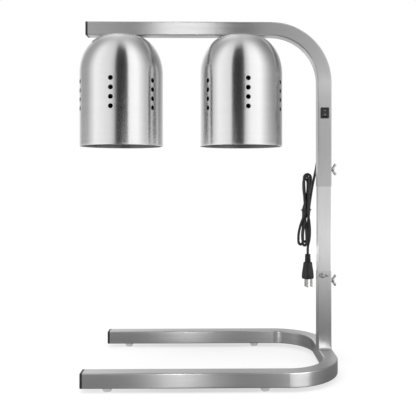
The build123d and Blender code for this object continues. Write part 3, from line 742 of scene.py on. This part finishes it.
def wing_screw(which):
    """Plated wing screw with a rolled thread, its axis along local Z from the tube's face."""
    node = f"{which}_wing_screw"
    axis, nut = SCREW_AXES[which]
    if axis == "x":
        place = facing((POST.x + HALF, 0.0, nut.z), (0, 0, 1), (1, 0, 0))
    else:
        place = facing((nut.x, -HALF, nut.z), (1, 0, 0), (0, -1, 0))
    hub = [(0.0, 3.1), (3.3, 3.1), (3.8, 3.5), (3.9, 5.0), (3.5, 7.0), (2.5, 7.9), (0.0, 8.1)]
    tip = -0.8
    shank = [(0.0, tip), (1.9, tip), (2.3, tip + 0.4)]
    shank += [(2.3, tip + 0.4 + 0.1 * k) for k in range(1, 38)]
    shank += [(2.3, 3.3), (0.0, 3.3)]
    rolled = thread(0.34 * MM, 0.8 * MM, (tip + 0.3) * MM, 3.0 * MM)
    middle = [turned(scaled(rounded(hub, 0.7)), 40), turned(scaled(shank), 40, False, rolled)]
    piece = solid(f"plated_{node}", *merged(*middle, wing(1), wing(-1)), 45.0, place)
    finish_piece(piece, BODY_OF[node], "zinc", "zinc", node)


for which in SCREW_AXES:
    wing_screw(which)


# ---- welds ----
def weld_bead(y_side):
    """Rippled fillet bead across the foot of the post."""
    width, leg = TUBE - 4.4 * MM, 2.3 * MM
    base = Vector((POST.x, y_side * HALF, BASE_HIGH.z))
    rings = []
    for k in range(91):
        share = k / 90
        ripple = 1 + 0.10 * math.sin(share * 30 * math.pi) + 0.05 * math.sin(share * 47)
        fade = min(1.0, 6 * share + 0.3, 6 * (1 - share) + 0.3)
        ring = [(-0.25, -0.25), (1.0, -0.25), (0.86, 0.30), (0.58, 0.60), (0.30, 0.86), (-0.25, 1.0)]
        rings.append([(base.x + (share - 0.5) * width, base.y + y_side * out * leg * ripple * fade,
                       base.z + up * leg * ripple * fade) for out, up in ring])
    return skin(rings)


beads = solid("rippled_welds", *merged(weld_bead(-1), weld_bead(1)), 50.0)
finish_piece(beads, BODY_OF["post_welds"], "weld", "weld", "post_welds")


# ---- switch marks ----
ROCKER_LEAN = math.radians(10.0)
ROCKER_PIVOT = 1.2
ROCKER_FACE = 1.1
MARK_HEIGHT = 4.3


def on_rocker(half):
    """Place on the upper (+1) or lower (-1) half of the rocker's face, as it leans at rest."""
    wall = facing((POST.x, -HALF, centre("switch_housing").z), (1, 0, 0), (0, -1, 0))
    pivot = Matrix.Translation((0.0, 0.0, -ROCKER_PIVOT * MM))
    leaning = pivot @ Matrix.Rotation(-ROCKER_LEAN, 4, "X") @ pivot.inverted()
    face_z = (ROCKER_FACE + MARK_HEIGHT * math.tan(ROCKER_LEAN)) * MM
    spot = Matrix.Translation((0.0, half * MARK_HEIGHT * MM, face_z))
    return wall @ leaning @ spot @ Matrix.Rotation(half * ROCKER_LEAN, 4, "X")


DASH_STEPS = [(1.0, -0.1), (1.0, 0.04), (0.92, 0.07)]      # share of full size, height
dash_rings = [scaled(box_ring(3.6 * w, 0.9 * w, 0.4 * w, z, 3)) for w, z in DASH_STEPS]
RING_OUTLINE = [(1.15, -0.1), (1.15, 0.05), (1.2, 0.07), (1.55, 0.07), (1.6, 0.05), (1.6, -0.1)]
marks = [solid("rocker_dash", *skin(dash_rings), 35.0, on_rocker(1)),
         lathe("rocker_ring", scaled(RING_OUTLINE), 48, True, None, 35.0, on_rocker(-1))]
for mark in marks:
    finish_piece(mark, BODY_OF["switch_rocker"], "mark_white", "switch_black")


# ---- power cord ----
CORD = 5.6 * MM
TIE = centre("cord_tie")
TIE_SPOT = (-27.3, 58.0, 316.0)    # in millimetres from the post's axis, as all of the cord's route
PLUG_ACROSS = -23.8
PLUG_TURN = 35.0

# Free lead: across, back, up.
LEAD = [
    (0.0, 36.0, 496.0),
    (0.0, 53.0, 496.0),
    (1.2, 67.7, 487.5),
    (3.0, 75.5, 472.0),
    (3.2, 77.0, 453.0),
    (0.2, 75.0, 424.0),
    (-6.2, 71.0, 394.0),
    (-13.0, 66.0, 367.0),
]
# Tail, from the tie to the plug.
TAIL = [
    (-20.6, 54.5, 290.0),
    (-19.3, 55.0, 270.0),
    (-20.4, 57.0, 252.0),
    (-23.6, 58.0, 240.0),
    (PLUG_ACROSS, 58.0, 230.0),
    (PLUG_ACROSS, 58.0, 221.0),
]


def cord_route():
    """The lead, the seven strands of the tied hank with their folds, and the tail."""
    tie_x, tie_y, tie_z = TIE_SPOT
    ring = 6.2
    # Where each pass crosses the tie: six strands round one.
    slots = [(tie_x + ring * math.cos(math.radians(a)), tie_y + ring * math.sin(math.radians(a)))
             for a in (0, 60, 120, 180, 240, -60)]
    passes = slots[:3] + [(tie_x, tie_y)] + slots[3:]
    # Folds as (first strand, second strand, height of the end), each strand as (across, back).
    low_folds = [((-23.4, 63.8), (-34.8, 63.9), 248.0), ((-27.0, 54.6), (-35.4, 52.6), 240.8),
                 ((-34.4, 58.2), (-44.1, 57.0), 242.6)]
    high_folds = [((-32.2, 64.0), (-23.2, 62.8), 384.0), ((-31.8, 58.0), (-17.3, 57.0), 394.8),
                  ((-32.6, 52.4), (-22.6, 51.9), 390.0)]

    def fold(first, second, end_z, up):
        """Half a turn between two strands, as points round an arc."""
        way = 1 if up else -1
        radius = math.dist(first, second) / 2 * 1.04
        deep = max(radius, 8.0)
        points = []
        for k in range(7):
            angle = math.pi * k / 6
            share = (1 - math.cos(angle) * 1.04) / 2
            x = first[0] + (second[0] - first[0]) * share
            y = first[1] + (second[1] - first[1]) * share
            points.append((x, y, end_z - way * deep * (1 - math.sin(angle))))
        return points

    def spread(slot, strand, share, z):
        """Point of a strand at a height, on its way from the tie to a fold."""
        return (slot[0] + (strand[0] - slot[0]) * share, slot[1] + (strand[1] - slot[1]) * share, z)

    points = list(LEAD)
    for number, slot in enumerate(passes):
        down = number % 2 == 0
        way = -1 if down else 1
        points.append((slot[0], slot[1], tie_z - way * 7.0))
        points.append((slot[0], slot[1], tie_z + way * 7.0))
        if number == len(passes) - 1:
            break
        first, second, end_z = (low_folds if down else high_folds)[number // 2]
        belly = end_z - way * 24.0
        mid = (tie_z + belly) / 2 + way * 2.0
        points += [spread(slot, first, 0.62, mid), spread(slot, first, 1.0, belly)]
        points += fold(first, second, end_z, not down)
        following = passes[number + 1]
        points += [spread(following, second, 1.0, belly), spread(following, second, 0.62, mid)]
    points += TAIL
    return [(POST.x + x * MM, y * MM, z * MM) for x, y, z in points]


cord = curve_tube("power_cord", cord_route(), CORD / 2, resolution=8, rings=6)
finish_piece(cord, "head", "cord_black", "cord_black", "cord_lead", "cord_hank", "cord_tail")


def twist_tie():
    """Paper-covered wire round the waist of the hank, with its twisted ends."""
    band = [(9.0, -2.0), (9.25, -2.1), (9.45, -1.6), (9.35, -0.6), (9.65, 0.0), (9.35, 0.6), (9.45, 1.6),
            (9.25, 2.1), (9.0, 2.0)]

    def over_strands(radius, share, height):
        """The band's radius, which bulges over each of the six outer strands."""
        return radius + 0.3 * MM * math.cos(6 * TURN * share)

    shapes = [turned(scaled(band), 72, True, over_strands)]
    around = [TURN * n / 8 for n in range(8)]
    for angle, rise in ((172.0, 8.0), (-12.0, 14.0)):
        heading, climb = math.radians(angle), math.radians(rise)
        way = Vector((math.cos(heading), math.sin(heading), math.sin(climb)))
        for strand in (0.0, math.pi):
            rings = []
            for k in range(17):
                turn = strand + TURN * 1.5 * k / 16
                spot = way * (8.8 + 2.6 * k / 16)
                side = way.cross(Vector((0, 0, 1))).normalized()
                up = side.cross(way).normalized()
                spot += side * 0.75 * math.cos(turn) + up * 0.75 * math.sin(turn)
                rings.append([tuple((spot + side * 0.7 * math.cos(a) + up * 0.7 * math.sin(a)) * MM)
                              for a in around])
            shapes.append(skin(rings))
    place = Matrix.Translation((POST.x + TIE_SPOT[0] * MM, TIE.y, TIE.z))
    return solid("twist_tie", *merged(*shapes), 40.0, place)


tie = finish_piece(twist_tie(), "head", "cord_black", "cord_black", "cord_tie")


def plug():
    """Moulded grounded plug with a ribbed neck, stepped shoulders and grip ridges."""
    # Width, depth, corner radius, height.
    sections = [(7.4, 7.4, 3.6, 222.0), (10.6, 10.6, 5.2, 221.9), (11.8, 11.8, 5.8, 221.2),
                (12.0, 12.0, 5.9, 219.6)]
    for rib in range(4):
        z = 218.8 - 3.5 * rib
        wide = 12.0 + 0.3 * rib
        groove = (wide - 1.2, wide - 1.2, wide / 2 - 0.7)
        crest = (wide + 0.3, wide + 0.3, wide / 2)
        sections += [(*groove, z), (*groove, z - 0.9), (*crest, z - 1.2), (*crest, z - 3.2)]
    sections += [(13.2, 12.8, 6.2, 205.0), (16.2, 14.6, 6.0, 204.6), (17.4, 15.4, 5.8, 204.0),
                 (17.8, 15.8, 5.6, 203.0), (18.6, 16.6, 5.8, 198.4), (20.4, 18.2, 6.0, 190.4),
                 (22.4, 19.8, 6.2, 183.0), (23.3, 20.7, 6.4, 177.6), (23.5, 21.0, 6.5, 173.6),
                 (23.0, 20.4, 6.3, 170.8), (22.2, 19.6, 6.0, 169.4), (21.0, 18.4, 5.6, 169.0),
                 (17.0, 14.0, 5.0, 169.0)]
    shapes = [skin([scaled(box_ring(*section)) for section in sections])]
    around = [TURN * n / 12 for n in range(12)]
    for face in (-1, 1):
        for ridge in range(5):
            z = 174.5 + 4.0 * ridge
            depth = 20.8 / 2 - 0.36 * ridge ** 1.2
            rings = []
            for x, size in ((-7.4, 0.2), (-7.0, 0.8), (-3.0, 1.0), (3.0, 1.0), (7.0, 0.8), (7.4, 0.2)):
                rings.append([(x * MM, face * (depth + size * 0.62 * math.cos(a) - 0.15) * MM,
                               (z + size * 0.8 * math.sin(a)) * MM) for a in around])
            shapes.append(skin(rings))
    place = Matrix.Translation((POST.x + PLUG_ACROSS * MM, TIE.y, 0.0))
    place @= Matrix.Rotation(math.radians(PLUG_TURN), 4, "Z")
    return solid("moulded_plug", *merged(*shapes), 40.0, place)


plug_piece = finish_piece(plug(), "head", "plug_black", "cord_black", "plug_body")


def relief():
    """Tapered strain relief with cut rings, out of the post's rear wall."""
    outline = [(0.0, -7.9), (5.0, -7.9), (5.2, -7.5), (5.2, 0.0), (7.4, 0.0), (8.0, 0.6), (8.0, 1.8),
               (7.3, 2.4), (6.1, 2.5), (5.9, 4.4)]
    for ring in range(5):
        z = 5.2 + 3.2 * ring
        wide = 5.75 - 0.30 * ring
        outline += [(wide, z), (wide - 0.95, z + 0.25), (wide - 0.95, z + 1.15), (wide - 0.05, z + 1.4)]
    outline += [(4.1, 21.3), (3.7, 22.0), (0.0, 22.0)]
    place = facing((POST.x, HALF, centre("strain_relief").z), (1, 0, 0), (0, 1, 0))
    return lathe("ribbed_strain_relief", scaled(outline), 64, False, None, 35.0, place)


relief_piece = finish_piece(relief(), "head", "plug_black", "cord_black", "strain_relief")


# ---- camera, floor and light ----
CAMERA_YAW = -0.0137
camera_data = bpy.data.cameras.new("camera")
camera_data.lens = 53.0
camera_data.sensor_width = 36.0
camera_data.shift_x = -0.030
camera_data.shift_y = -0.0755
camera = bpy.data.objects.new("camera", camera_data)
camera.location = (0.0075, -1.2642, 0.3895)
camera.rotation_euler = (math.pi / 2, 0.0, CAMERA_YAW)
bpy.context.scene.collection.objects.link(camera)
bpy.context.scene.camera = camera


FLOOR_RADIUS = 7.0
# Brightness of the studio as steel shows it: by degrees round from the front, and on the floor
# by the share of its radius.
ROUND_STUDIO = [(-180, 0.95), (-165, 1.4), (-150, 1.15), (-125, 0.46), (-95, 0.50), (-80, 0.95),
                (-66, 1.4), (-45, 1.20), (-34, 1.10), (-22, 1.05), (-14, 0.85), (-6, 0.45), (5, 0.5),
                (15, 1.0), (24, 1.4), (52, 1.6), (68, 1.0), (82, 0.60), (95, 0.40), (125, 0.24),
                (150, 0.5), (165, 0.85), (180, 0.85)]
FLOOR_IN_STEEL = [(0.04, 0.26), (0.11, 0.45), (0.17, 0.9), (0.27, 1.7), (0.42, 1.8), (0.66, 1.1), (1.0, 0.7)]
# Upright lights near the camera, each of which lights one CAD node only: name, node, place, width
# and power.
STRIP_HEIGHT = 0.40
STRIPS = [("arm_strip", "head_tube", (-0.091, -1.0, 0.95), 0.11, 3.1),
          ("leg_strip", "base_frame", (-0.10, -1.1, 0.23), 0.09, 1.7),
          ("bend_strip", "base_frame", (0.75, -1.05, 0.23), 0.90, 8.0)]


def set_stops(ramp, stops):
    """Puts a colour ramp's stops, at half their value so that 1 stands for a brightness of 2."""
    elements = ramp.color_ramp.elements
    ramp.color_ramp.interpolation = "LINEAR"
    while len(elements) < len(stops):
        elements.new(0.5)
    for element, (spot, value) in zip(elements, stops):
        element.position = spot
        element.color = grey(value / 2)


def studio_floor():
    """Pale floor that fades into the white of the studio."""
    floor = lathe("floor", [(0.0, -0.02), (FLOOR_RADIUS, -0.02), (FLOOR_RADIUS, 0.0), (0.0, 0.0)], 128)
    material = bpy.data.materials.new("floor")
    nodes = Nodes(material)
    x, y, _ = nodes.split(nodes.object_place())
    away = length_of(nodes, x, y)
    paper = nodes.add("ShaderNodeBsdfDiffuse", {"Color": grey(0.95)})
    glow = nodes.add("ShaderNodeEmission", {"Color": grey(1.0), "Strength": 1.05})
    white = nodes.fit(away, 0.10, 0.50, 0.45, 1.0)
    faded = nodes.add("ShaderNodeMixShader", {0: white, 1: paper.outputs[0], 2: glow.outputs[0]})
    ring = nodes.add("ShaderNodeValToRGB", {0: nodes.math("DIVIDE", away, FLOOR_RADIUS)})
    set_stops(ring, FLOOR_IN_STEEL)
    # In steel, the floor is dark in a broad lane in front of the shades.
    aside = nodes.math("ABSOLUTE", nodes.math("ADD", x, 0.25))
    in_lane = nodes.fit(aside, 0.45, 0.75, 1.0, 0.0)
    lane = nodes.math("MULTIPLY", in_lane, nodes.fit(y, -1.2, -0.8, 1.0, 0.0))
    strength = nodes.math("MULTIPLY", ring.outputs[0], nodes.fit(lane, 0.0, 1.0, 2.0, 0.2))
    dim = nodes.add("ShaderNodeEmission", {"Color": grey(1.0), "Strength": strength})
    gloss = nodes.add("ShaderNodeLightPath").outputs["Is Glossy Ray"]
    shown = nodes.add("ShaderNodeMixShader", {0: gloss, 1: faded.outputs[0], 2: dim.outputs[0]})
    nodes.add("ShaderNodeOutputMaterial", {"Surface": shown.outputs[0]})
    floor.data.materials.append(material)


def studio_world():
    """White backdrop to the camera, and to all else soft light that varies round the object."""
    world = bpy.data.worlds.new("studio")
    bpy.context.scene.world = world
    nodes = Nodes(world)
    x, y, z = nodes.split(nodes.add("ShaderNodeTexCoord").outputs["Generated"])
    # In degrees: 0 straight in front, positive to the right, 180 behind.
    azimuth = nodes.math("MULTIPLY", nodes.math("ARCTAN2", x, nodes.math("MULTIPLY", y, -1.0)), 360 / TURN)
    height = nodes.math("MULTIPLY", nodes.math("ARCSINE", z), 360 / TURN)
    ring = nodes.add("ShaderNodeValToRGB", {0: nodes.fit(azimuth, -180.0, 180.0, 0.0, 1.0)})
    set_stops(ring, [((angle + 180) / 360, value) for angle, value in ROUND_STUDIO])
    level = nodes.math("MULTIPLY", ring.outputs[0], 2.0)
    top = nodes.fit(height, 50.0, 85.0, 0.0, 1.0)
    sky = nodes.math("ADD", nodes.math("MULTIPLY", level, nodes.math("SUBTRACT", 1.0, top)),
                     nodes.math("MULTIPLY", top, 0.75))
    reflected = nodes.add("ShaderNodeBackground", {"Color": grey(1.0), "Strength": sky})
    backdrop = nodes.add("ShaderNodeBackground", {"Color": grey(1.0), "Strength": 1.0})
    seen = nodes.add("ShaderNodeLightPath").outputs["Is Camera Ray"]
    shown = nodes.add("ShaderNodeMixShader", {0: seen, 1: reflected.outputs[0], 2: backdrop.outputs[0]})
    nodes.add("ShaderNodeOutputWorld", {"Surface": shown.outputs[0]})


def area_light(name, place, target, size, power):
    """Soft rectangular light that no camera sees."""
    light = bpy.data.lights.new(name, "AREA")
    light.shape = "RECTANGLE"
    light.size, light.size_y = size
    light.energy = power
    lamp = bpy.data.objects.new(name, light)
    lamp.location = place
    lamp.rotation_euler = (Vector(target) - Vector(place)).to_track_quat("-Z", "Y").to_euler()
    lamp.visible_camera = False
    bpy.context.scene.collection.objects.link(lamp)
    return lamp


def dark_card():
    """Black card in front, which only steel shows: the dark stripe down each shade."""
    left, right, low, high, y = -0.26, 0.14, 0.42, 1.9, -0.68
    corners = [(left, y, low), (right, y, low), (right, y, high), (left, y, high)]
    card = solid("dark_card", corners, [(0, 1, 2, 3)])
    material = bpy.data.materials.new("dark_card")
    nodes = Nodes(material)
    black = nodes.add("ShaderNodeEmission", {"Color": grey(1.0), "Strength": 0.02})
    nodes.add("ShaderNodeOutputMaterial", {"Surface": black.outputs[0]})
    card.data.materials.append(material)
    card.visible_camera = False
    card.visible_diffuse = False
    card.visible_transmission = False
    card.visible_shadow = False


def strip_light(name, node, place, width, power):
    """Upright light that lights one node only."""
    strip = area_light(name, place, (place[0], 0.0, place[2]), (width, STRIP_HEIGHT), power)
    lit = bpy.data.collections.new(name)
    lit.objects.link(frame["nodes"][node])
    strip.light_linking.receiver_collection = lit


studio_floor()
studio_world()
dark_card()
overhead = area_light("overhead_light", (-0.3, -0.5, 2.2), (0.0, 0.0, 0.2), (1.6, 1.6), 18.0)
overhead.visible_glossy = False
for row in STRIPS:
    strip_light(*row)
bpy.context.scene.view_settings.view_transform = "Standard"

plug_pieces = [relief_piece, tie, plug_piece]
plug_pieces += [frame["nodes"]["plug_blades"], frame["nodes"]["plug_ground_pin"]]
